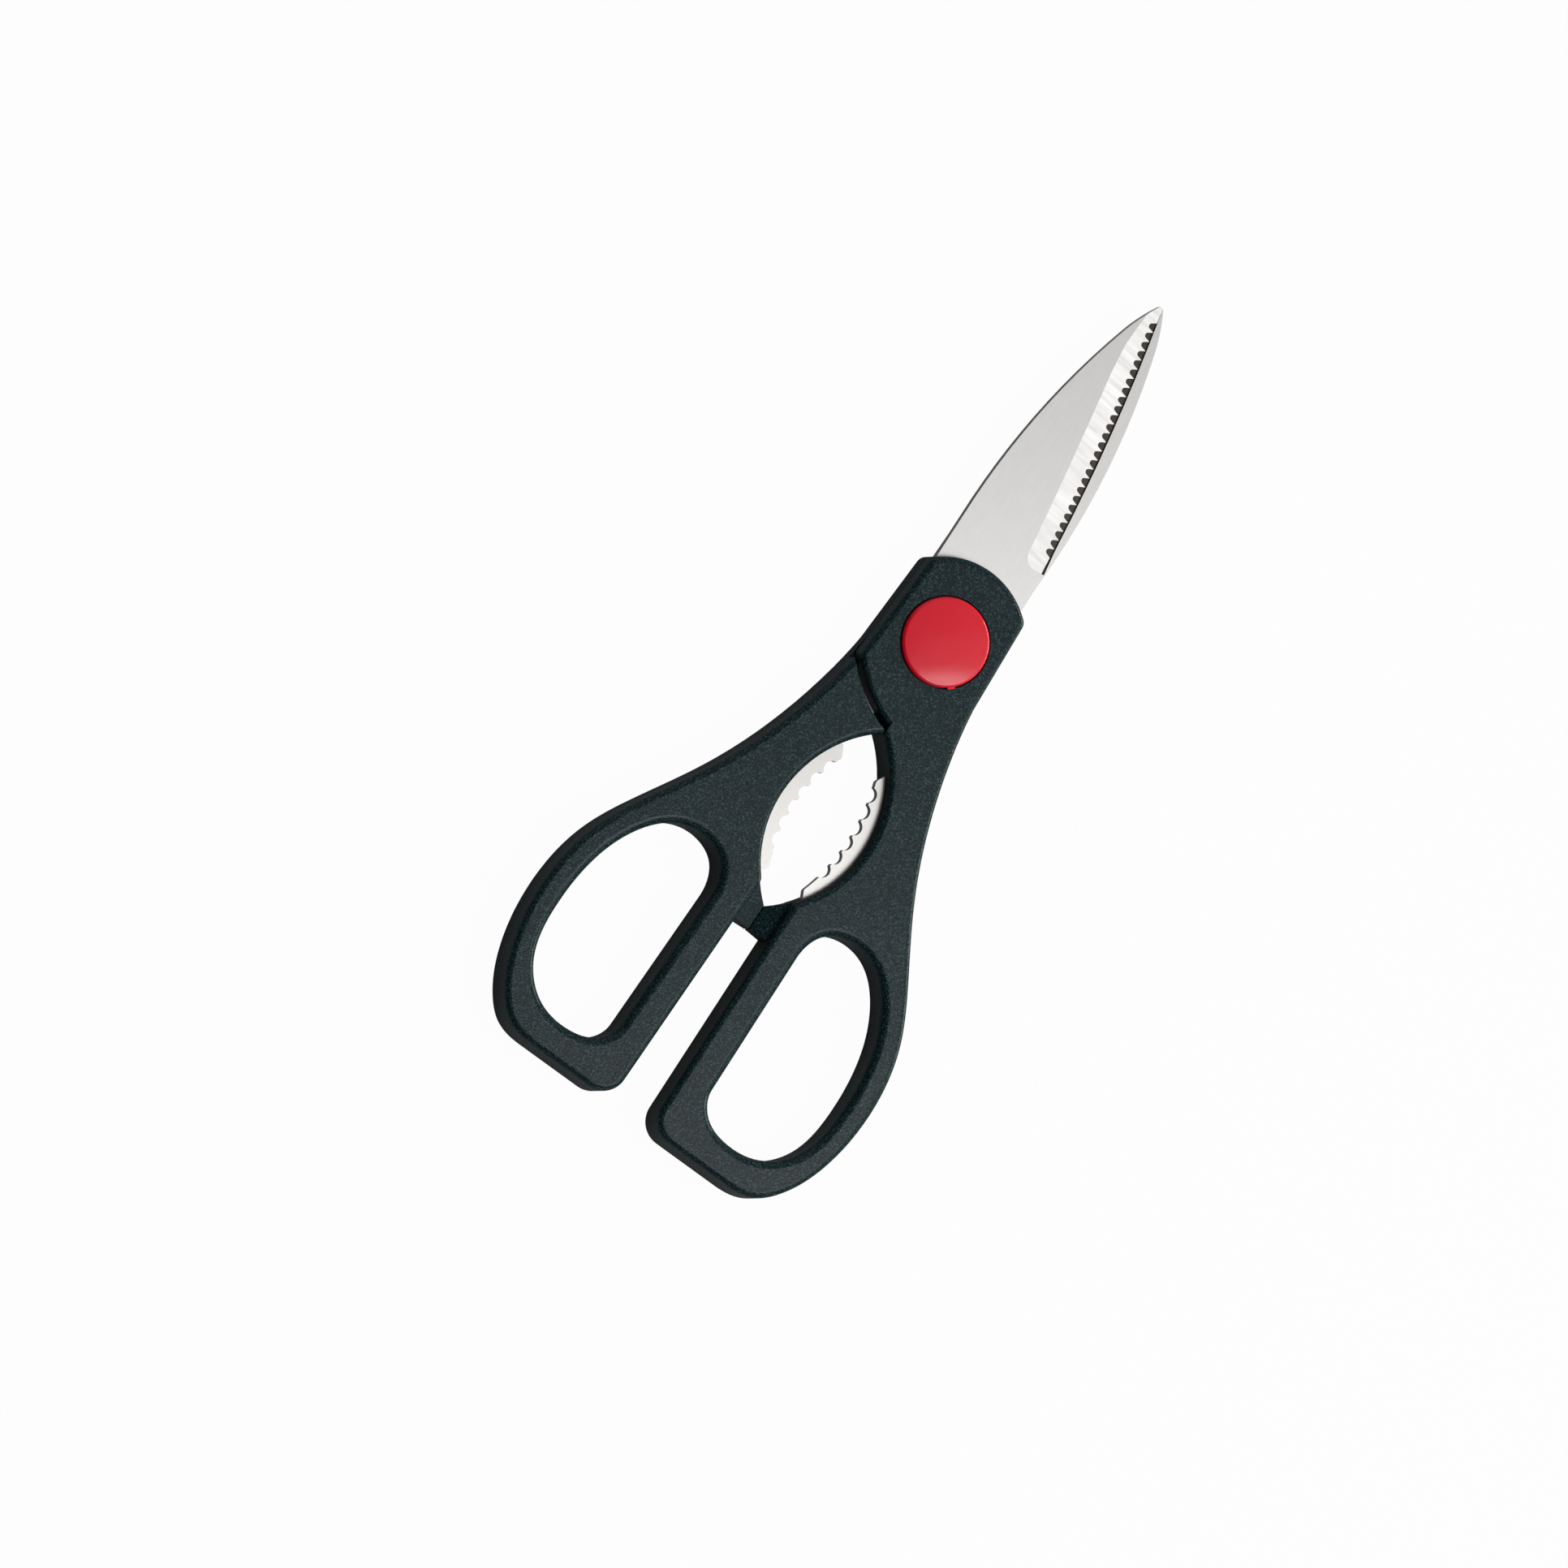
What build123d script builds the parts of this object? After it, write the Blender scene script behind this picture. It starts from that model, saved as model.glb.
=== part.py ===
from build123d import *
from math import sqrt
import os

os.makedirs("parts", exist_ok=True)

# Kitchen shears in millimetres, lying shut on their rear face.
# The pivot axis is the Z axis, the tips point along +Y and the rear face lies on Z = 0.
# Both halves are one design: the lower half is the upper half turned over about the
# length axis, so each blade's inner face slides on the other at half the thickness.

# Whole object
thickness = 11.0             # handles and pivot block, face to face
steel = 2.2                  # blade stock
tip_reach = 85.15            # pivot axis to where spine and edge would meet, unrounded
handle_reach = 119.3         # pivot axis to the ends of the finger loops
loop_half_width = 42.8       # pivot axis to the widest point of a loop
blade_gap = 0.06             # running gap between the two inner faces
parting_gap = 0.3            # gap between the two plastic halves at the crossing
closing_gap = 0.3            # gap between the closing stops when the shears are shut
overrun = 2.0                # how far a cutting shape runs past what it cuts

# Pivot block, the part of each handle that crosses over the other
block_half_width = 12.95     # at the rear end of its straight sides
block_front_half_width = 11.95
block_front_radius = 17.8
block_corner_radius = 2.2
crossing_radius = 26.6       # rear edge of the block, struck from a point off the pivot
crossing_offset_x = 7.3
crossing_offset_y = 4.7
crossing_gap = 1.6           # groove between that edge and the other handle's step
crossing_edge_radius = 1.1   # rim of the block beside that groove
crotch_length = 2.2          # straight split from that edge to the nutcracker opening

# Shank and finger loop
side_wall_end = 1.5          # where the straight side of the block starts to flare out
edge_radius = 1.3            # outer edges of the mouldings
hole_edge_radius = 1.7       # finger hole edges
bar_top_x = 3.95             # inner wall of the loop at its upper end
bar_bottom_x = 4.95          # and at its lower end
bar_corner_radius = 5.5
bar_shoulder_radius = 2.0    # where the nutcracker opening runs out into the inner wall
step_tip_radius = 0.7        # thin end of the step beside the nutcracker opening
shank_edge_shares = [(0.068, 0.27), (0.220, 0.533), (0.444, 0.782)]
loop_edge_shares = [(0.726, 0.018), (0.912, 0.213), (0.999, 0.503), (0.944, 0.72),
                    (0.770, 0.915), (0.640, 0.977)]
bottom_end_share = 0.43      # where the outer curve runs into the flat end of the loop

# Finger hole
hole_inner_x = 11.35
hole_top = 62.4
loop_side_wall = 5.4         # plastic outside the hole at its widest
loop_end_wall = 7.2          # plastic under the hole
hole_side_shares = [(0.023, 0.85), (0.0, 0.19)]
hole_shares = [(0.135, 0.96), (0.36, 1.0), (0.66, 0.975), (0.90, 0.855), (1.0, 0.60),
               (0.965, 0.385), (0.80, 0.155), (0.54, 0.022), (0.33, 0.0), (0.087, 0.052)]

# Nutcracker opening between the shanks
nut_half_width = 10.85
nut_widest = 45.5
nut_bottom = 66.5

# Closing stops, one on each handle under the nutcracker opening
stop_length = 5.9            # along the handle
stop_root_height = 7.6
stop_face_height = 3.4
stop_root_depth = 2.4        # how far the stop is rooted inside the bar

# Blades
spine_half_width = 11.1
spine_straight_end = 28.7    # where the straight spine turns into the long arc
spine_bend_x = 4.25          # and where that arc turns into the tighter one at the tip
tip_arc_length = 9.15        # how far that bend lies short of the tip, along the blade
root_half_width = 10.75      # at the pivot
shoulder_half_width = 10.4   # steel beside the heel, on the side of the cutting edge
tip_offset = 0.15            # the point lies this far to the spine's side of the middle
tip_radius = 0.5
heel_x = 10.1
heel_y = 24.05
edge_bulge = 1.085           # how far the cutting edge bows out past a straight line
edge_land = 0.25             # steel left at the cutting edge where the bevel is widest
bevel_width = 5.6
bevel_shares = [(0.0, 0.85), (0.2, 0.94), (0.5, 1.0), (0.7, 0.985), (0.8, 0.9), (0.87, 0.73),
                (0.93, 0.55), (1.0, 0.3)]    # along the edge, and of the bevel's width there
bevel_heel_drop = 0.5        # slant of the bevel's lower end
bevel_heel_radius = 2.8
notch_pitch = 2.07           # notches between the pointed teeth of the serrated blade
notch_width = 2.03
notch_apex = 2.61            # depth to where the two flanks would meet
notch_radius = 0.62          # rounded root of the notch
notch_start = 5.05           # along the edge, from the heel to the middle of the first notch
plain_length = 4.6           # of the edge at the tip, left without notches
relief_width = 2.2           # groove in the plain blade that the teeth move over
relief_margin = 0.45         # how far the groove shows beside the teeth
relief_mouth_margin = 0.8    # and at its mouth by the heel, where the wheel ran in
relief_mouth_share = 0.1     # of the cutting edge, from the heel to the end of that mouth
relief_depth = 0.6
relief_end_share = 0.97      # of the cutting edge that the groove follows

# Tang, the steel inside the handle
tang_cover = 2.6             # plastic left round the steel in the block
tang_shares = [(1.02, 0.10), (1.26, 0.38), (1.57, 0.63), (1.57, 0.81), (1.17, 0.93),
               (0.90, 0.93), (1.20, 0.70), (0.64, 0.39), (0.20, 0.28), (0.20, 0.10)]
lock_hole_radius = 1.6       # the moulding grips through these holes
lock_hole_shares = [(0.92, 0.33), (1.34, 0.60), (1.25, 0.84)]

# Nutcracker jaws on the tangs
serrated_jaw_x = 7.3         # crests at the middle of the jaw, on the serrated blade
serrated_jaw_bow = 2.3       # how much the crests fall back at the jaw's ends
plain_jaw_x = 6.2            # the same two on the plain blade
plain_jaw_bow = 2.9
jaw_top = 31.6
jaw_length = 27.4
jaw_shoulder = 2.6           # rise of the jaw's slanted ends into the handle
jaw_shoulder_run = 1.3
jaw_depth = 7.0              # from the crests to the back of the jaw in the handle
jaw_corner_radius = 0.7
tooth_count = 6
tooth_pitch = 3.72
tooth_radius = 1.75
tooth_inset = 0.7            # circle centres outside the line of the crests
tooth_start = 3.3            # along the jaw, from its upper end to the first valley

# Pivot: a barrel nut from the front, a screw from the rear and a spring washer
barrel_radius = 4.0
barrel_clearance = 0.05
screw_radius = 2.5
screw_clearance = 0.04
head_radius = 7.0
head_height = 1.3
head_chamfer = 0.3
washer_height = 0.4
washer_clearance = 0.15
running_gap = 0.05           # between the washer and the blade that turns under it
end_gap = 0.3                # from the screw's end to the bottom of the nut's thread
nut_wall = 0.6               # nut head left over the thread
slot_width = 1.4
slot_depth = 0.6

# Caps that hide the pivot on both sides
cap_radius = 9.45
cap_ring_gap = 0.35          # open ring between cap and handle
cap_seat_gap = 0.1
cap_side = 0.85              # side of the front cap above the handle's face
cap_crown = 0.45             # crown of the front cap above its side
cap_rim_radius = 0.7
rear_rim_radius = 0.4
skirt_height = 1.0           # snap ring round the screw head
skirt_wall = 1.0
skirt_fit = 0.02
skirt_clearance = 0.25       # between the snap ring and the bore in the handle
nub_length = 1.6             # moulding gate left on the front cap's rim
nub_height = 0.9
nub_reach = 0.33
nub_angle = -48.0

middle = thickness / 2
joint = middle + parting_gap / 2
inner_face = middle + blade_gap / 2
outer_face = inner_face + steel
washer_seat = outer_face + running_gap
head_seat = washer_seat + washer_height
head_top = head_seat + head_height
recess_floor = head_top - cap_seat_gap
half_gap = closing_gap / 2
block_rear = sqrt(crossing_radius**2 - (crossing_offset_x - half_gap)**2) - crossing_offset_y
nut_top = block_rear + crotch_length
hole_outer_x = loop_half_width - loop_side_wall
hole_bottom = handle_reach - loop_end_wall


def turned_over(shape):
    """The same shape turned over about the length axis, for the lower half."""
    return Pos(0, 0, thickness) * Rot(0, 180, 0) * shape


def prism(face, low, high):
    """A flat outline raised between two levels."""
    return extrude(Pos(0, 0, low) * face, amount=high - low)


def crossing_disc(side, grow=0):
    """Disc whose rim is the rear edge of the block; side is 1 for the upper half."""
    return Pos(side * crossing_offset_x, crossing_offset_y) * Circle(crossing_radius + grow)


# Nutcracker opening: an almond of four arcs, upright at its widest points
def nut_opening():
    edges = []
    for side in (-1, 1):
        widest = (side * nut_half_width, -nut_widest)
        edges.append(TangentArc(widest, (side * half_gap, -nut_top), tangent=(0, 1)))
        edges.append(TangentArc(widest, (side * half_gap, -nut_bottom), tangent=(0, -1)))
    for end in (nut_top, nut_bottom):
        edges.append(Line((-half_gap, -end), (half_gap, -end)))
    return make_face(edges)


def between(shares, near, far):
    """The point that lies at two shares of the way from one corner to the other."""
    return tuple(low + share * (high - low) for share, low, high in zip(shares, near, far))


# Finger hole: straight beside the bar, then one long curve round the fingers
def finger_hole():
    near = (hole_inner_x, -hole_top)
    far = (hole_outer_x, -hole_bottom)
    low, top = [between(shares, near, far) for shares in hole_side_shares]
    curve = [between(shares, near, far) for shares in hole_shares]
    down = (0, -1)
    around = Spline(low, *curve, top, tangents=[down, down], tangent_scalars=[1, 1])
    return make_face([around, Line(top, low)])


# Shank and loop of the right-hand handle, seen from above
def shank_outline():
    start = (block_half_width, -side_wall_end)
    neck = (block_half_width, -hole_top)
    widest = (loop_half_width, -hole_top)
    corner = (loop_half_width, -handle_reach)
    curve = [between(shares, start, widest) for shares in shank_edge_shares]
    curve += [between(shares, neck, corner) for shares in loop_edge_shares]
    end = between((bottom_end_share, 1), neck, corner)
    outer = Spline(start, *curve, end, tangents=[(0, -1), (-1, 0)], tangent_scalars=[1, 1])
    inside = FilletPolyline(end, (bar_bottom_x, -handle_reach), (bar_top_x, -nut_widest),
                            radius=bar_corner_radius)
    closing = Polyline((bar_top_x, -nut_widest), (half_gap, -nut_widest),
                       (half_gap, -side_wall_end), start)
    return make_face([outer, inside, closing])


# Block that crosses over the other handle
def block_outline():
    draw_in = block_half_width - block_front_half_width
    rear_x = block_half_width + draw_in
    front_y = block_front_radius
    rear_y = -2 * side_wall_end - block_front_radius
    corners = [(block_front_half_width, front_y), (rear_x, rear_y), (rear_x, -crossing_radius),
               (-rear_x, -crossing_radius), (-rear_x, rear_y), (-block_front_half_width, front_y)]
    sides = make_face(Polyline(*corners, close=True))
    rear = Pos(0, -crossing_radius) * Rectangle(4 * block_half_width, 2 * crossing_radius)
    return (Circle(block_front_radius) + rear) & sides & crossing_disc(1)


# Closing stop: a wedge between the bar and the middle, lowest at its face
def closing_stop(opening):
    root = bar_top_x + stop_root_depth
    profile = Polyline((half_gap, middle - stop_face_height / 2),
                       (root, middle - stop_root_height / 2),
                       (root, middle + stop_root_height / 2),
                       (half_gap, middle + stop_face_height / 2), close=True)
    start = -nut_bottom + stop_length
    wedge = extrude(Plane.XZ.offset(-start) * make_face(profile), amount=2 * stop_length)
    return wedge - prism(opening, -overrun, thickness + overrun)


# Handle: loop and shank at full thickness, block at half thickness
def handle():
    opening = nut_opening()
    shank = shank_outline() - opening
    upper = prism(shank + block_outline(), joint, thickness)
    lower = prism(shank - crossing_disc(-1, crossing_gap), 0, joint)
    upper = fillet(upright_edges(upper, 0, block_front_radius, block_half_width),
                   block_corner_radius)
    upper = fillet(upright_edges(upper, -nut_bottom, -nut_widest, nut_half_width / 2),
                   bar_shoulder_radius)
    lower = fillet(upright_edges(lower, -nut_bottom, -nut_widest, nut_half_width / 2),
                   bar_shoulder_radius)
    lower = fillet(upright_edges(lower, half_gap - nut_top, -half_gap, nut_half_width),
                   step_tip_radius)
    body = upper + lower
    faces = body.faces().filter_by(Axis.Z).sort_by(Axis.Z)
    rims = [edge for edge in faces[-1].edges() + faces[0].edges() if not at_crossing(edge)]
    body = fillet(rims, edge_radius)
    crossing = body.faces().filter_by(Axis.Z).sort_by(Axis.Z)[-1].edges().filter_by(at_crossing)
    body = fillet(crossing.filter_by(GeomType.CIRCLE), crossing_edge_radius)
    hole = finger_hole()
    body -= prism(hole, -overrun, thickness + overrun)
    faces = body.faces().filter_by(Axis.Z).sort_by(Axis.Z)
    rims = [edge for face in (faces[0], faces[-1]) for edge in face.inner_wires()[0].edges()]
    body = fillet(rims, hole_edge_radius) + closing_stop(opening)
    body -= prism(Circle(cap_radius + cap_ring_gap), recess_floor, thickness + overrun)
    bore = head_radius + skirt_wall + skirt_clearance
    return body - prism(Circle(bore), middle, thickness)


def at_crossing(edge):
    """True for the sharp edges of the crossing groove and of the split under it."""
    place = edge.center()
    return abs(place.X) < nut_half_width and -nut_top < place.Y < 0


def upright_edges(solid, low, high, reach):
    """The upright edges between two places along Y and within a reach of the axis."""
    edges = solid.edges().filter_by(Axis.Z)
    return [edge for edge in edges
            if low < edge.center().Y < high and abs(edge.center().X) < reach + overrun]


# Cutting edge, from the heel to the tip
def cutting_edge():
    return SagittaArc((heel_x, heel_y), (-tip_offset, tip_reach), -edge_bulge)


# Blade outline from the tip down to the pivot, with the spine on the left
def blade_outline():
    bend = (-spine_bend_x, tip_reach - tip_arc_length)
    spine = TangentArc((-spine_half_width, spine_straight_end), bend, tangent=(0, 1))
    tip_arc = TangentArc(bend, (-tip_offset, tip_reach), tangent=spine % 1)
    foot = Polyline((-spine_half_width, spine_straight_end), (-root_half_width, 0),
                    (root_half_width, 0), (shoulder_half_width, heel_y), (heel_x, heel_y))
    return make_face([spine, tip_arc, foot, cutting_edge()])


def tang_point(shares):
    across, down = shares
    return (across * nut_half_width, -down * nut_bottom)


# Tang: fills the block behind the pivot, then runs down the shank behind the jaw
def tang_outline(jaw_x, jaw_bow):
    root = Circle(crossing_radius - tang_cover)
    root = Pos(crossing_offset_x, crossing_offset_y) * root
    root &= Pos(0, -crossing_radius / 2) * Rectangle(2 * root_half_width, crossing_radius)
    strip = make_face(Polyline(*[tang_point(shares) for shares in tang_shares], close=True))
    locks = [Pos(*tang_point(shares)) * Circle(lock_hole_radius) for shares in lock_hole_shares]
    return root + strip + jaw_outline(jaw_x, jaw_bow) - locks


# Jaw: a bowed row of round-bottomed teeth that stands out of the handle
def jaw_outline(jaw_x, jaw_bow):
    end_x = jaw_x - jaw_bow
    low = -jaw_top - jaw_length
    crests = ThreePointArc((end_x, -jaw_top), (jaw_x, -jaw_top - jaw_length / 2), (end_x, low))
    back = end_x + jaw_depth
    shoulder_x = end_x + jaw_shoulder_run
    frame = Polyline((end_x, low), (shoulder_x, low - jaw_shoulder), (back, low - jaw_shoulder),
                     (back, jaw_shoulder - jaw_top), (shoulder_x, jaw_shoulder - jaw_top),
                     (end_x, -jaw_top))
    face = make_face([crests, frame])
    ends = face.vertices().group_by(Axis.X)[0]
    face = fillet(ends, jaw_corner_radius)
    for tooth in range(tooth_count):
        place = crests.position_at((tooth_start + tooth * tooth_pitch) / crests.length)
        face -= Pos(place.X - tooth_inset, place.Y) * Circle(tooth_radius)
    return face


# One notch: a rounded V, open towards -Y, with the cutting edge along X
def notch():
    half_width = (notch_apex + overrun) / notch_apex * notch_width / 2
    corners = [(-half_width, -overrun), (half_width, -overrun), (0, notch_apex)]
    shape = make_face(Polyline(*corners, close=True))
    root = shape.vertices().sort_by(Axis.Y)[-1]
    return fillet(root, notch_radius)


# Row of notches along the cutting edge
def notches():
    edge = cutting_edge()
    row = []
    for index in range(1 + int((edge.length - notch_start - plain_length) / notch_pitch)):
        share = (notch_start + index * notch_pitch) / edge.length
        place = edge.position_at(share)
        row.append(Pos(place.X, place.Y) * Rot(0, 0, edge.tangent_angle_at(share)) * notch())
    return row


# Relief groove: follows the line where the other blade's cutting edge lies when shut
def relief_groove():
    edge = cutting_edge()
    half_way_share = (relief_mouth_share + relief_end_share) / 2
    places = [edge.position_at(share)
              for share in (relief_mouth_share, half_way_share, relief_end_share)]
    heel = edge.position_at(0)
    mouth = (-heel.X - relief_mouth_margin, heel.Y)
    back = (-heel.X - relief_margin + relief_width, heel.Y)
    outer = ThreePointArc(*[(-place.X - relief_margin, place.Y) for place in places])
    inner = ThreePointArc(*[(-place.X - relief_margin + relief_width, place.Y)
                            for place in places])
    ends = [Line(outer @ 1, inner @ 1), Polyline(outer @ 0, mouth, back, inner @ 0)]
    face = make_face([outer, inner, *ends])
    return prism(face, inner_face - overrun, inner_face + relief_depth)


# Ground bevel: one slope, whose upper end draws near to the edge towards heel and tip
def bevel_cut():
    edge = cutting_edge()
    slope = (outer_face - inner_face - edge_land) / bevel_width
    reach = bevel_width + overrun
    sections = []
    inner_line = []
    for along_share, width_share in bevel_shares:
        place = edge.position_at(along_share)
        start = place.X - width_share * bevel_width
        along = place.Y
        if along_share == 0:
            along -= 2 * bevel_heel_drop
        if along_share == 1:
            along += overrun
        high = (start - overrun, outer_face + slope * overrun)
        low = (start + reach, outer_face - slope * reach)
        corners = [(x, along, z) for x, z in (low, high, (low[0], high[1]))]
        sections.append(make_face(Polyline(*corners, close=True)))
        inner_line.append((start, along))
    cut = loft(sections, ruled=True)
    corner = (inner_line[0][0], heel_y - bevel_heel_drop)
    beyond = (2 * heel_x - corner[0], heel_y + bevel_heel_drop)
    limit = make_face(Polyline(corner, *inner_line[1:], (beyond[0], inner_line[-1][1]), beyond,
                               close=True))
    limit = fillet(limit.vertices().sort_by_distance(corner)[0], bevel_heel_radius)
    return cut & prism(limit, middle, thickness)


# Blade with its tang and jaw in one piece of steel
def blade(jaw_x, jaw_bow, clearance, edge_cuts):
    outline = blade_outline() + tang_outline(jaw_x, jaw_bow) - edge_cuts
    outline -= Circle(barrel_radius + clearance)
    body = prism(outline, inner_face, outer_face)
    tip = body.edges().filter_by(Axis.Z).sort_by(Axis.Y)[-1]
    body = fillet(tip, tip_radius)
    return body - bevel_cut()


# Pivot hardware, each turned about the Z axis
def turned(*profile):
    """A solid turned about the Z axis from a profile of radius and height."""
    return revolve(make_face(Plane.XZ * Polyline(*profile, close=True)), Axis.Z)


def slot(level, depth):
    return Pos(0, 0, level) * Box(2 * head_radius + overrun, slot_width, 2 * depth)


def pivot_nut():
    barrel_end = thickness - outer_face + running_gap
    body = turned((0, barrel_end), (barrel_radius, barrel_end), (barrel_radius, head_seat),
                  (head_radius, head_seat), (head_radius, head_top - head_chamfer),
                  (head_radius - head_chamfer, head_top), (0, head_top))
    thread = prism(Circle(screw_radius + screw_clearance), 0, head_top - nut_wall - slot_depth)
    return body - thread - slot(head_top, slot_depth)


def pivot_screw():
    seat = thickness - outer_face
    top = head_top - nut_wall - slot_depth - end_gap
    low = seat - head_height
    body = turned((0, low), (head_radius - head_chamfer, low), (head_radius, low + head_chamfer),
                  (head_radius, seat), (screw_radius, seat), (screw_radius, top - head_chamfer),
                  (screw_radius - head_chamfer, top), (0, top))
    return body - slot(low, slot_depth)


def spring_washer():
    ring = Circle(head_radius) - Circle(barrel_radius + washer_clearance)
    return prism(ring, washer_seat, head_seat)


# Front cap: a low dome with a snap ring that grips the nut's head
def front_cap():
    skirt_inner = head_radius + skirt_fit
    skirt_outer = head_radius + skirt_wall
    side_top = thickness + cap_side
    crown = (0, side_top + cap_crown)
    dome = Plane.XZ * TangentArc(crown, (cap_radius, side_top), tangent=(1, 0))
    sides = Plane.XZ * Polyline((cap_radius, side_top), (cap_radius, head_top),
                                (skirt_outer, head_top), (skirt_outer, head_top - skirt_height),
                                (skirt_inner, head_top - skirt_height), (skirt_inner, head_top),
                                (0, head_top), crown)
    body = revolve(make_face([dome, sides]), Axis.Z)
    rim = [edge for edge in body.edges() if abs(edge.center().Z - side_top) < cap_seat_gap]
    body = fillet(rim, cap_rim_radius)
    nub = Pos(cap_radius, 0, thickness) * Box(2 * nub_reach, nub_length, nub_height)
    return body + Rot(0, 0, nub_angle) * nub


# Rear cap: flush with the rear face, so that the shears lie flat
def rear_cap():
    skirt_inner = head_radius + skirt_fit
    skirt_outer = head_radius + skirt_wall
    head_low = thickness - outer_face - head_height
    flange_top = thickness - recess_floor - cap_seat_gap
    body = turned((0, 0), (cap_radius, 0), (cap_radius, flange_top), (skirt_outer, flange_top),
                  (skirt_outer, head_low + skirt_height), (skirt_inner, head_low + skirt_height),
                  (skirt_inner, head_low), (0, head_low))
    rim = body.edges().filter_by(GeomType.CIRCLE).group_by(Axis.Z)[0]
    return fillet(rim, rear_rim_radius)


moulding = handle()
serrated_blade = blade(serrated_jaw_x, serrated_jaw_bow, barrel_clearance, notches())
plain_blade = blade(plain_jaw_x, plain_jaw_bow, screw_clearance, []) - relief_groove()
pieces = {
    "serrated_blade": serrated_blade,
    "plain_blade": turned_over(plain_blade),
    "upper_handle": moulding - serrated_blade,
    "lower_handle": turned_over(moulding - plain_blade),
    "pivot_nut": pivot_nut(),
    "pivot_screw": pivot_screw(),
    "spring_washer": spring_washer(),
    "front_cap": front_cap(),
    "rear_cap": rear_cap(),
}
for name, piece in pieces.items():
    export_step(piece, f"parts/{name}.step")
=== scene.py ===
import math

import bpy
from mathutils import Matrix, Vector

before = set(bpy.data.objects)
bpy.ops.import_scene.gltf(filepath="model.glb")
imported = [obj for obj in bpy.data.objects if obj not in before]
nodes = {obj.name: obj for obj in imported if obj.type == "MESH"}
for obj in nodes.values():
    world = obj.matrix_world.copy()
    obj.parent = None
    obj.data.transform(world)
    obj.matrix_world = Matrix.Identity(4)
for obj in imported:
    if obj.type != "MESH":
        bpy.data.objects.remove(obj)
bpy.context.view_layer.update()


# Camera
# The shears lie on their rear face with the tips to the upper right. The camera looks down from
# far away, from a little to the left.
TURN = math.radians(34.767)            # length axis of the shears, clockwise from the upright
LEAN = math.radians(16.212)            # of the line of sight towards the left
TILT = math.radians(-0.344)            # and towards the top
AIM = Vector((0, 0, 0.0123))           # crown of the front cap
AIM_OFFSET = (-0.03378, -0.02937)      # from there to the picture's centre, right and up
PICTURE_WIDTH = 0.324789               # of the plane through the object, in metres
CAMERA_DISTANCE = 0.6
CLIP_NEAR = 0.01
CLIP_FAR = 20

across = Vector((math.cos(TURN), math.sin(TURN), 0))
along = Vector((-math.sin(TURN), math.cos(TURN), 0))
upright = Vector((0, 0, 1))
picture_right = math.cos(LEAN) * across + math.sin(LEAN) * upright
leaned = math.cos(LEAN) * upright - math.sin(LEAN) * across
towards_camera = math.cos(TILT) * leaned + math.sin(TILT) * along
picture_up = math.cos(TILT) * along - math.sin(TILT) * leaned
picture_centre = AIM + picture_right * AIM_OFFSET[0] + picture_up * AIM_OFFSET[1]
camera_place = picture_centre + towards_camera * CAMERA_DISTANCE
camera_axes = Matrix((picture_right, picture_up, towards_camera)).transposed().to_4x4()

camera_data = bpy.data.cameras.new("camera")
camera_data.type = "ORTHO"
camera_data.ortho_scale = PICTURE_WIDTH
camera_data.clip_start = CLIP_NEAR
camera_data.clip_end = CLIP_FAR
camera = bpy.data.objects.new("camera", camera_data)
camera.matrix_world = Matrix.Translation(camera_place) @ camera_axes
bpy.context.scene.collection.objects.link(camera)
bpy.context.scene.camera = camera
bpy.context.scene.view_settings.view_transform = "Standard"


# Floor
# A sheet of white paper board under the shears. It is lit from below as well, as a light table
# is, so it looks plain white and shows only a faint shadow.
FLOOR_HALF = 3.0
FLOOR_DROP = 0.0001
FLOOR_COLOUR = "#C4C4C4"
FLOOR_ROUGHNESS = 0.9
GLOW_COLOUR = "#FFFFFF"
GLOW_SHARE = 0.972                     # share of its look that no shadow can darken
MIRRORED_GLOW_SHARE = 0.08             # and the same where steel or plastic mirrors it


def colour(hex_code):
    """An sRGB hex colour as linear red, green, blue and an alpha of 1."""
    parts = [int(hex_code[start:start + 2], 16) / 255 for start in (1, 3, 5)]
    linear = [part / 12.92 if part <= 0.04045 else ((part + 0.055) / 1.055)**2.4
              for part in parts]
    return (*linear, 1.0)


def new_material(name):
    """An empty node tree with its output and one Principled shader linked to it."""
    material = bpy.data.materials.new(name)
    material.use_nodes = True
    tree = material.node_tree
    tree.nodes.clear()
    output = tree.nodes.new("ShaderNodeOutputMaterial")
    shader = tree.nodes.new("ShaderNodeBsdfPrincipled")
    tree.links.new(shader.outputs["BSDF"], output.inputs["Surface"])
    return material, tree, shader


def add_node(tree, kind, settings=None, values=None, links=None):
    """A node of a kind, with its settings by name and its inputs set or linked by key.

    A Mix node's inputs share their names, so they go by number: 0 is the share of the second,
    2 and 3 are its two numbers with output 0, and 6 and 7 its two colours with output 2.
    """
    node = tree.nodes.new(kind)
    for name, value in (settings or {}).items():
        setattr(node, name, value)
    for key, value in (values or {}).items():
        node.inputs[key].default_value = value
    for key, source in (links or {}).items():
        tree.links.new(source, node.inputs[key])
    return node


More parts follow.
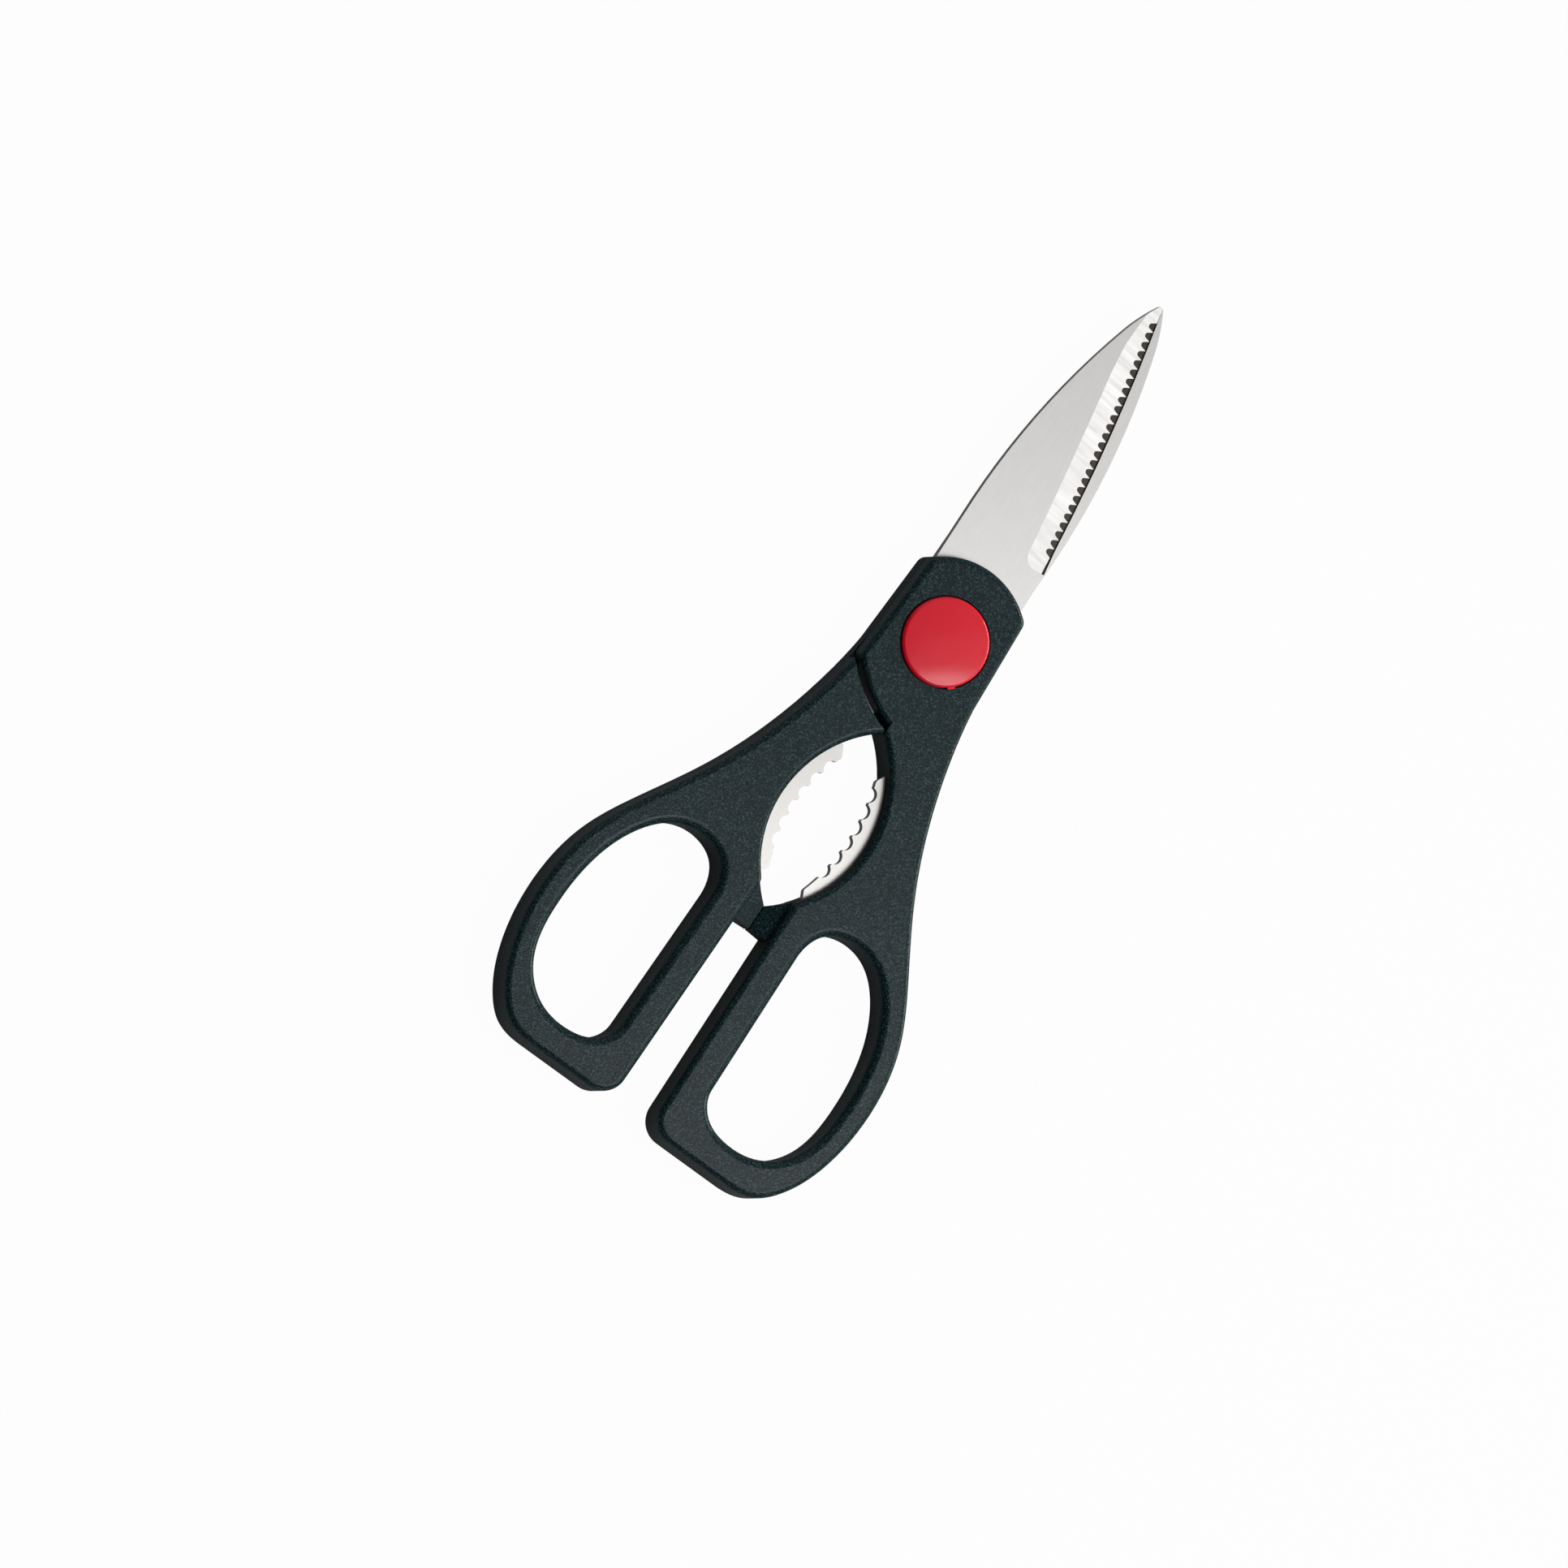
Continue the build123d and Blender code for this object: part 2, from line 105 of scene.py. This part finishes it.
board, board_tree, board_shader = new_material("white_paper_board")
board_shader.inputs["Base Color"].default_value = colour(FLOOR_COLOUR)
board_shader.inputs["Roughness"].default_value = FLOOR_ROUGHNESS
board_shader.inputs["Specular IOR Level"].default_value = 0.0
board_ray = add_node(board_tree, "ShaderNodeLightPath")
board_glow = add_node(board_tree, "ShaderNodeEmission", values={"Color": colour(GLOW_COLOUR)})
board_mirrored = add_node(board_tree, "ShaderNodeMath", {"operation": "MULTIPLY"},
                          {1: MIRRORED_GLOW_SHARE}, {0: board_ray.outputs["Is Glossy Ray"]})
board_share = add_node(board_tree, "ShaderNodeMath", {"operation": "MULTIPLY_ADD"},
                       {1: GLOW_SHARE},
                       {0: board_ray.outputs["Is Camera Ray"], 2: board_mirrored.outputs[0]})
board_mix = add_node(board_tree, "ShaderNodeMixShader",
                     links={0: board_share.outputs[0], 1: board_shader.outputs[0],
                            2: board_glow.outputs[0]})
board_tree.links.new(board_mix.outputs[0],
                     board_tree.nodes["Material Output"].inputs["Surface"])

floor_mesh = bpy.data.meshes.new("floor")
floor_corners = [(x * FLOOR_HALF, y * FLOOR_HALF, -FLOOR_DROP)
                 for x, y in ((-1, -1), (1, -1), (1, 1), (-1, 1))]
floor_mesh.from_pydata(floor_corners, [], [(0, 1, 2, 3)])
floor_mesh.materials.append(board)
floor = bpy.data.objects.new("floor", floor_mesh)
bpy.context.scene.collection.objects.link(floor)


# Light
# A soft studio: a room that is dark overhead and on the left and pale elsewhere, a large soft
# box overhead, one on the right that lights the bevels, a small bright one over the lower edge
# of the picture, and a low strip on the right that draws the rims.
ROOM_COLOUR = "#FFFFFF"
PALE_RADIANCE = 0.75                   # of the ceiling towards the upper right
PALE_DIRECTION = 0.78 * upright + 0.59 * across - 0.2 * along
PALE_SPAN = (0.5, 1.0)                 # how far that way it starts to pale, and is palest
FAR_RADIANCE = 0.55                    # of the room past the tips
FAR_DIRECTION = 0.9 * along + 0.44 * across
FAR_SPAN = (0.25, 0.6)
WALL_RADIANCE = 0.5                    # of the walls
LEFT_RADIANCE = 0.06                   # and of the one on the left
LEFT_SPAN = (-0.5, 0.0)                # how far to the right it ends, and the pale ones start
WALL_TOP_SPAN = (0.45, 0.75)           # how far up the walls start to fade, and are dark


def soft_box(name, place, width, height, radiance):
    """A rectangular lamp at a place, turned to the pivot, with its brightness as radiance."""
    lamp = bpy.data.lights.new(name, "AREA")
    lamp.shape = "RECTANGLE"
    lamp.size = width
    lamp.size_y = height
    lamp.energy = radiance * math.pi * width * height
    lamp_object = bpy.data.objects.new(name, lamp)
    side = along.cross(place).normalized()
    back = place.normalized()
    axes = Matrix((side, back.cross(side), back)).transposed().to_4x4()
    lamp_object.matrix_world = Matrix.Translation(place) @ axes
    bpy.context.scene.collection.objects.link(lamp_object)


soft_box("overhead_box", place=1.0 * upright + 0.52 * across - 0.42 * along,
         width=0.85, height=1.0, radiance=0.24)
soft_box("side_box", place=0.67 * upright + 0.80 * across - 0.34 * along,
         width=0.8, height=0.9, radiance=0.48)
soft_box("lower_box", place=0.56 * upright + 0.15 * across - 0.215 * along,
         width=0.31, height=0.28, radiance=4.7)
soft_box("rim_strip", place=0.25 * upright + 1.17 * across,
         width=0.12, height=0.9, radiance=24.0)

world = bpy.data.worlds.new("studio")
world.use_nodes = True
bpy.context.scene.world = world
world_tree = world.node_tree
world_tree.nodes.clear()
world_place = add_node(world_tree, "ShaderNodeTexCoord")
world_pale_way, world_far_way, world_right, world_height = [
    add_node(world_tree, "ShaderNodeVectorMath", {"operation": "DOT_PRODUCT"},
             {1: direction}, {0: world_place.outputs["Generated"]})
    for direction in (PALE_DIRECTION, FAR_DIRECTION, across, upright)]
world_pale = add_node(world_tree, "ShaderNodeMapRange",
                      values={"From Min": PALE_SPAN[0], "From Max": PALE_SPAN[1],
                              "To Max": PALE_RADIANCE},
                      links={"Value": world_pale_way.outputs["Value"]})
world_far = add_node(world_tree, "ShaderNodeMapRange",
                     values={"From Min": FAR_SPAN[0], "From Max": FAR_SPAN[1],
                             "To Max": FAR_RADIANCE},
                     links={"Value": world_far_way.outputs["Value"]})
world_side = add_node(world_tree, "ShaderNodeMapRange",
                      values={"From Min": LEFT_SPAN[0], "From Max": LEFT_SPAN[1],
                              "To Min": LEFT_RADIANCE, "To Max": WALL_RADIANCE},
                      links={"Value": world_right.outputs["Value"]})
world_wall = add_node(world_tree, "ShaderNodeMapRange",
                      values={"From Min": WALL_TOP_SPAN[0], "From Max": WALL_TOP_SPAN[1],
                              "To Max": 0.0},
                      links={"Value": world_height.outputs["Value"],
                             "To Min": world_side.outputs[0]})
world_round = add_node(world_tree, "ShaderNodeMath", {"operation": "MAXIMUM"},
                       links={0: world_far.outputs[0], 1: world_wall.outputs[0]})
world_strength = add_node(world_tree, "ShaderNodeMath", {"operation": "MAXIMUM"},
                          links={0: world_pale.outputs[0], 1: world_round.outputs[0]})
room = add_node(world_tree, "ShaderNodeBackground", values={"Color": colour(ROOM_COLOUR)},
                links={"Strength": world_strength.outputs[0]})
white = add_node(world_tree, "ShaderNodeBackground", values={"Color": colour(ROOM_COLOUR)})
world_ray = add_node(world_tree, "ShaderNodeLightPath")
world_mix = add_node(world_tree, "ShaderNodeMixShader",
                     links={0: world_ray.outputs["Is Camera Ray"], 1: room.outputs[0],
                            2: white.outputs[0]})
add_node(world_tree, "ShaderNodeOutputWorld", links={"Surface": world_mix.outputs[0]})


# Blades
# Two blades stamped from 2.2 mm stainless strip. The flats are belt-polished along the blade to
# a soft satin and the bevels ground across it. The side walls and the floor of the relief groove
# are painted dark as painted shade, and the jaws are painted a darker grey than the flats as
# painted shade against the extra light that falls on them.
STEEL_COLOUR = "#D3D2D1"
STEEL_LINE_COLOUR = "#C7C6C4"          # between the bright lines that the wheel left
# painted shade: the side walls of the blades get this darker colour to stand for the shade on
# them
WALL_SHADE_COLOUR = "#8D8A88"
# painted shade: the floor of the relief groove gets this dark colour to stand for the shadow
# under the teeth
GROOVE_SHADE_COLOUR = "#4A4540"
# painted shade: the jaws get a darker grey than the flats to take back the extra light that
# falls on them
JAW_SHADE_COLOUR = "#BAB8B5"
GRIND_PITCH = 0.0009                   # wheel lines across the bevel, coarser than the real ones
SATIN_PITCH = 0.0003                   # belt scratches along the flat, coarser too
LINE_STRETCH = 14                      # how many times longer than wide the lines are
LINE_HEIGHT = 0.00006
LINE_DETAIL = 3.0
LINE_BUMP = 0.3
BRIGHT_LINE_SPAN = (0.35, 0.65)        # heights where a line starts to brighten, and is bright
SATIN_RANGE = (0.4, 0.6)               # heights that the fainter belt scratches keep to
NOISE_SPAN = (0.3, 0.7)                # nearly all of a noise's values lie in this span
STEEL_ROUGHNESS = (0.27, 0.35)         # least and greatest
UNPOLISHED_ROUGHNESS = 0.3             # of the jaws and the groove's floor
FLAT_LIMIT = 0.985                     # least upright part of the normal on a flat
BEVEL_LIMIT = 0.8                      # and on a bevel
GROOVE_LEVEL = 0.00487                 # height of the relief groove's floor
GROOVE_BAND = 0.0002                   # allowed either side of it
JAW_END = -0.0255                      # the jaws lie behind this line

steel, steel_tree, steel_shader = new_material("ground_stainless_steel")
steel_place = add_node(steel_tree, "ShaderNodeTexCoord")
steel_normal = add_node(steel_tree, "ShaderNodeSeparateXYZ",
                        links={0: steel_place.outputs["Normal"]})
steel_axes = add_node(steel_tree, "ShaderNodeSeparateXYZ",
                      links={0: steel_place.outputs["Object"]})
steel_upright = add_node(steel_tree, "ShaderNodeMath", {"operation": "ABSOLUTE"},
                         links={0: steel_normal.outputs["Z"]})
steel_flat = add_node(steel_tree, "ShaderNodeMath", {"operation": "GREATER_THAN"},
                      {1: FLAT_LIMIT}, {0: steel_upright.outputs[0]})
steel_off_wall = add_node(steel_tree, "ShaderNodeMath", {"operation": "GREATER_THAN"},
                          {1: BEVEL_LIMIT}, {0: steel_upright.outputs[0]})
steel_at_groove = add_node(steel_tree, "ShaderNodeMath", {"operation": "COMPARE"},
                           {1: GROOVE_LEVEL, 2: GROOVE_BAND}, {0: steel_axes.outputs["Z"]})
steel_groove = add_node(steel_tree, "ShaderNodeMath", {"operation": "MULTIPLY"},
                        links={0: steel_at_groove.outputs[0], 1: steel_flat.outputs[0]})
steel_behind = add_node(steel_tree, "ShaderNodeMath", {"operation": "LESS_THAN"},
                        {1: JAW_END}, {0: steel_axes.outputs["Y"]})
steel_jaw = add_node(steel_tree, "ShaderNodeMath", {"operation": "MULTIPLY"},
                     links={0: steel_behind.outputs[0], 1: steel_flat.outputs[0]})
steel_along = add_node(steel_tree, "ShaderNodeMapping",
                       values={"Scale": (1 / SATIN_PITCH, 1 / SATIN_PITCH / LINE_STRETCH,
                                         1 / SATIN_PITCH)},
                       links={"Vector": steel_place.outputs["Object"]})
steel_across = add_node(steel_tree, "ShaderNodeMapping",
                        values={"Scale": (1 / GRIND_PITCH / LINE_STRETCH, 1 / GRIND_PITCH,
                                          1 / GRIND_PITCH / LINE_STRETCH)},
                        links={"Vector": steel_place.outputs["Object"]})
steel_satin, steel_grind = [
    add_node(steel_tree, "ShaderNodeTexNoise", values={"Scale": 1.0, "Detail": LINE_DETAIL},
             links={"Vector": lines.outputs[0]})
    for lines in (steel_along, steel_across)]
steel_faint = add_node(steel_tree, "ShaderNodeMapRange",
                       values={"To Min": SATIN_RANGE[0], "To Max": SATIN_RANGE[1]},
                       links={"Value": steel_satin.outputs[0]})
steel_lines = add_node(steel_tree, "ShaderNodeMix", {"data_type": "FLOAT"},
                       links={0: steel_flat.outputs[0], 2: steel_grind.outputs[0],
                              3: steel_faint.outputs[0]})
steel_shine = add_node(steel_tree, "ShaderNodeMapRange",
                       values={"From Min": NOISE_SPAN[0], "From Max": NOISE_SPAN[1],
                               "To Min": STEEL_ROUGHNESS[0], "To Max": STEEL_ROUGHNESS[1]},
                       links={"Value": steel_lines.outputs[0]})
steel_unpolished = add_node(steel_tree, "ShaderNodeMath", {"operation": "MAXIMUM"},
                            links={0: steel_groove.outputs[0], 1: steel_jaw.outputs[0]})
steel_rough = add_node(steel_tree, "ShaderNodeMix", {"data_type": "FLOAT"},
                       {3: UNPOLISHED_ROUGHNESS},
                       {0: steel_unpolished.outputs[0], 2: steel_shine.outputs[0]})
steel_bright = add_node(steel_tree, "ShaderNodeMapRange",
                        values={"From Min": BRIGHT_LINE_SPAN[0],
                                "From Max": BRIGHT_LINE_SPAN[1]},
                        links={"Value": steel_lines.outputs[0]})
steel_lined = add_node(steel_tree, "ShaderNodeMix", {"data_type": "RGBA"},
                       {6: colour(STEEL_LINE_COLOUR), 7: colour(STEEL_COLOUR)},
                       {0: steel_bright.outputs[0]})
# painted shade on the blades' side walls, picked out by their normals
steel_wall_shaded = add_node(steel_tree, "ShaderNodeMix", {"data_type": "RGBA"},
                       {6: colour(WALL_SHADE_COLOUR)},
                       {0: steel_off_wall.outputs[0], 7: steel_lined.outputs[2]})
# painted shade on the jaws
steel_jaw_shaded = add_node(steel_tree, "ShaderNodeMix", {"data_type": "RGBA"},
                         {7: colour(JAW_SHADE_COLOUR)},
                         {0: steel_jaw.outputs[0], 6: steel_wall_shaded.outputs[2]})
# painted shade on the floor of the relief groove
steel_colour = add_node(steel_tree, "ShaderNodeMix", {"data_type": "RGBA"},
                        {7: colour(GROOVE_SHADE_COLOUR)},
                        {0: steel_groove.outputs[0], 6: steel_jaw_shaded.outputs[2]})
steel_bump = add_node(steel_tree, "ShaderNodeBump",
                      values={"Strength": LINE_BUMP, "Distance": LINE_HEIGHT},
                      links={"Height": steel_lines.outputs[0]})
steel_tree.links.new(steel_colour.outputs[2], steel_shader.inputs["Base Color"])
steel_tree.links.new(steel_rough.outputs[0], steel_shader.inputs["Roughness"])
steel_tree.links.new(steel_bump.outputs[0], steel_shader.inputs["Normal"])
steel_shader.inputs["Metallic"].default_value = 1.0


def dress(node, material):
    """Puts one material on all of a CAD node's faces."""
    slots = nodes[node].data.materials
    slots.clear()
    slots.append(material)


for blade in ("serrated_blade", "plain_blade"):
    dress(blade, steel)


# Handles
# Two injection-moulded halves of black-green polypropylene over the steel tangs. The mould is
# spark-eroded, which leaves a fine matt grain that glints in tiny points; the lighter points in
# its colour are painted glints laid over that real grain.
PLASTIC_COLOUR = "#061A1D"
PLASTIC_GLINT_COLOUR = "#3D5558"       # painted glints at the grain's points
GRAIN_PITCH = 0.00035                  # spark-eroded grain, drawn coarser than the real 0.2 mm
GRAIN_HEIGHT = 0.00005
GRAIN_DETAIL = 2.0
GRAIN_BREAKUP = 0.7                    # share of the finer grain in the coarser
GRAIN_BUMP = 0.8
GLINT_SPAN = (0.5, 0.72)               # heights where the painted glints start, and are full
CLOUD_PITCH = 0.012                    # broad uneven patches where the melt cooled
CLOUD_DETAIL = 3.0
PLASTIC_ROUGHNESS = (0.20, 0.26)       # least and greatest, on the upper faces
WALL_DULLNESS = 0.35                   # what the walls have on top of that
WALL_SPAN = (0.1, 0.7)                 # upright part of the normal on a wall, and on no wall
PLASTIC_IOR = 1.49
PLASTIC_SPECULAR = 0.16

plastic, plastic_tree, plastic_shader = new_material("spark_eroded_polypropylene")
plastic_place = add_node(plastic_tree, "ShaderNodeTexCoord")
plastic_grain = add_node(plastic_tree, "ShaderNodeTexNoise",
                         values={"Scale": 1 / GRAIN_PITCH, "Detail": GRAIN_DETAIL,
                                 "Roughness": GRAIN_BREAKUP},
                         links={"Vector": plastic_place.outputs["Object"]})
plastic_cloud = add_node(plastic_tree, "ShaderNodeTexNoise",
                         values={"Scale": 1 / CLOUD_PITCH, "Detail": CLOUD_DETAIL},
                         links={"Vector": plastic_place.outputs["Object"]})
plastic_glint = add_node(plastic_tree, "ShaderNodeMapRange",
                         values={"From Min": GLINT_SPAN[0], "From Max": GLINT_SPAN[1]},
                         links={"Value": plastic_grain.outputs[0]})
# painted glints: lighter points over the dark base colour of the plastic
plastic_colour = add_node(plastic_tree, "ShaderNodeMix", {"data_type": "RGBA"},
                          {6: colour(PLASTIC_COLOUR), 7: colour(PLASTIC_GLINT_COLOUR)},
                          {0: plastic_glint.outputs[0]})
plastic_shine = add_node(plastic_tree, "ShaderNodeMapRange",
                         values={"From Min": NOISE_SPAN[0], "From Max": NOISE_SPAN[1],
                                 "To Min": PLASTIC_ROUGHNESS[0],
                                 "To Max": PLASTIC_ROUGHNESS[1]},
                         links={"Value": plastic_cloud.outputs[0]})
plastic_normal = add_node(plastic_tree, "ShaderNodeSeparateXYZ",
                          links={0: plastic_place.outputs["Normal"]})
plastic_upright = add_node(plastic_tree, "ShaderNodeMath", {"operation": "ABSOLUTE"},
                           links={0: plastic_normal.outputs["Z"]})
plastic_wall = add_node(plastic_tree, "ShaderNodeMapRange",
                        values={"From Min": WALL_SPAN[0], "From Max": WALL_SPAN[1],
                                "To Min": WALL_DULLNESS, "To Max": 0.0},
                        links={"Value": plastic_upright.outputs[0]})
plastic_rough = add_node(plastic_tree, "ShaderNodeMath", {"operation": "ADD"},
                         links={0: plastic_shine.outputs[0], 1: plastic_wall.outputs[0]})
plastic_bump = add_node(plastic_tree, "ShaderNodeBump",
                        values={"Strength": GRAIN_BUMP, "Distance": GRAIN_HEIGHT},
                        links={"Height": plastic_grain.outputs[0]})
plastic_tree.links.new(plastic_colour.outputs[2], plastic_shader.inputs["Base Color"])
plastic_tree.links.new(plastic_rough.outputs[0], plastic_shader.inputs["Roughness"])
plastic_tree.links.new(plastic_bump.outputs[0], plastic_shader.inputs["Normal"])
plastic_shader.inputs["IOR"].default_value = PLASTIC_IOR
plastic_shader.inputs["Specular IOR Level"].default_value = PLASTIC_SPECULAR

for handle in ("upper_handle", "lower_handle"):
    dress(handle, plastic)


# Pivot nut, screw and washer
# Turned and stamped steel, zinc-plated and hidden under the caps. The plating bath leaves it
# bright with faint clouds.
ZINC_COLOUR = "#BFC3C6"
ZINC_CLOUD_PITCH = 0.0015
ZINC_CLOUD_DETAIL = 3.0
ZINC_ROUGHNESS = (0.22, 0.4)           # least and greatest

zinc, zinc_tree, zinc_shader = new_material("bright_zinc_plated_steel")
zinc_place = add_node(zinc_tree, "ShaderNodeTexCoord")
zinc_cloud = add_node(zinc_tree, "ShaderNodeTexNoise",
                      values={"Scale": 1 / ZINC_CLOUD_PITCH, "Detail": ZINC_CLOUD_DETAIL},
                      links={"Vector": zinc_place.outputs["Object"]})
zinc_rough = add_node(zinc_tree, "ShaderNodeMapRange",
                      values={"From Min": NOISE_SPAN[0], "From Max": NOISE_SPAN[1],
                              "To Min": ZINC_ROUGHNESS[0], "To Max": ZINC_ROUGHNESS[1]},
                      links={"Value": zinc_cloud.outputs[0]})
zinc_tree.links.new(zinc_rough.outputs[0], zinc_shader.inputs["Roughness"])
zinc_shader.inputs["Base Color"].default_value = colour(ZINC_COLOUR)
zinc_shader.inputs["Metallic"].default_value = 1.0

for hardware in ("pivot_nut", "pivot_screw", "spring_washer"):
    dress(hardware, zinc)


# Caps
# Two snapped-in discs of red ABS, moulded in a polished tool. That leaves a soft gloss with a
# faint orange peel.
CAP_COLOUR = "#DC1028"
PEEL_PITCH = 0.0016
PEEL_HEIGHT = 0.00002
PEEL_DETAIL = 1.0
PEEL_BUMP = 0.1
CAP_ROUGHNESS = (0.10, 0.15)           # least and greatest
CAP_IOR = 1.52
CAP_SPECULAR = 0.43

red, red_tree, red_shader = new_material("polished_red_abs")
red_place = add_node(red_tree, "ShaderNodeTexCoord")
red_peel = add_node(red_tree, "ShaderNodeTexNoise",
                    values={"Scale": 1 / PEEL_PITCH, "Detail": PEEL_DETAIL},
                    links={"Vector": red_place.outputs["Object"]})
red_rough = add_node(red_tree, "ShaderNodeMapRange",
                     values={"From Min": NOISE_SPAN[0], "From Max": NOISE_SPAN[1],
                             "To Min": CAP_ROUGHNESS[0], "To Max": CAP_ROUGHNESS[1]},
                     links={"Value": red_peel.outputs[0]})
red_bump = add_node(red_tree, "ShaderNodeBump",
                    values={"Strength": PEEL_BUMP, "Distance": PEEL_HEIGHT},
                    links={"Height": red_peel.outputs[0]})
red_tree.links.new(red_rough.outputs[0], red_shader.inputs["Roughness"])
red_tree.links.new(red_bump.outputs[0], red_shader.inputs["Normal"])
red_shader.inputs["Base Color"].default_value = colour(CAP_COLOUR)
red_shader.inputs["IOR"].default_value = CAP_IOR
red_shader.inputs["Specular IOR Level"].default_value = CAP_SPECULAR

for cap in ("front_cap", "rear_cap"):
    dress(cap, red)
